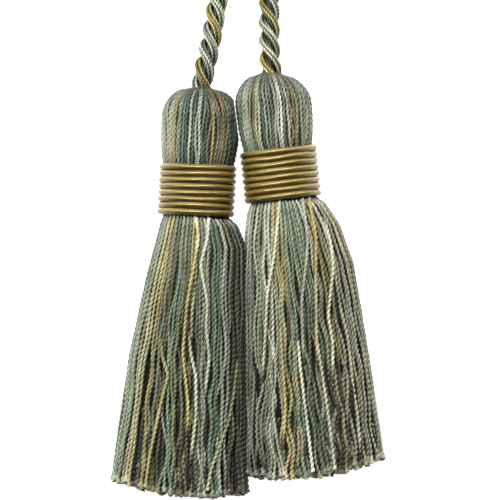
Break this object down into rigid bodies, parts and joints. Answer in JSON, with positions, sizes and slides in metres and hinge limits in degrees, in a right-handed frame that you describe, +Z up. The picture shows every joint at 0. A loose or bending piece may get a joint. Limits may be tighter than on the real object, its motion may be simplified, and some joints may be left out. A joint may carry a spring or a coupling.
{
  "type": "tassel chair tie",
  "caption": "Twisted cord with a full cut tassel at each end, bound at the neck, for tying a cushion to a chair back or holding back a curtain.",
  "frame": {"origin": "bottom centre of the two tassels' bounding box, on the surface they lie on", "axes": "+Y from the skirts' hems to the heads and the cord, +X to the right-hand tassel, +Z up from the surface"},
  "size_m": [0.0884, 0.329, 0.0253],
  "materials": {
    "hank_yarn": "plied yarns in sage, teal, cream, gold and taupe, soft sheen",
    "band_gimp": "gold-olive satin gimp",
    "rope_gimp": "twisted rope of gold and silver-sage gimp"
  },
  "bodies": {
    "root": {"cord": "rope_gimp", "tassel_left": "hank_yarn", "band_left": "band_gimp", "tassel_right": "hank_yarn", "band_right": "band_gimp"}
  },
  "joints": []
}
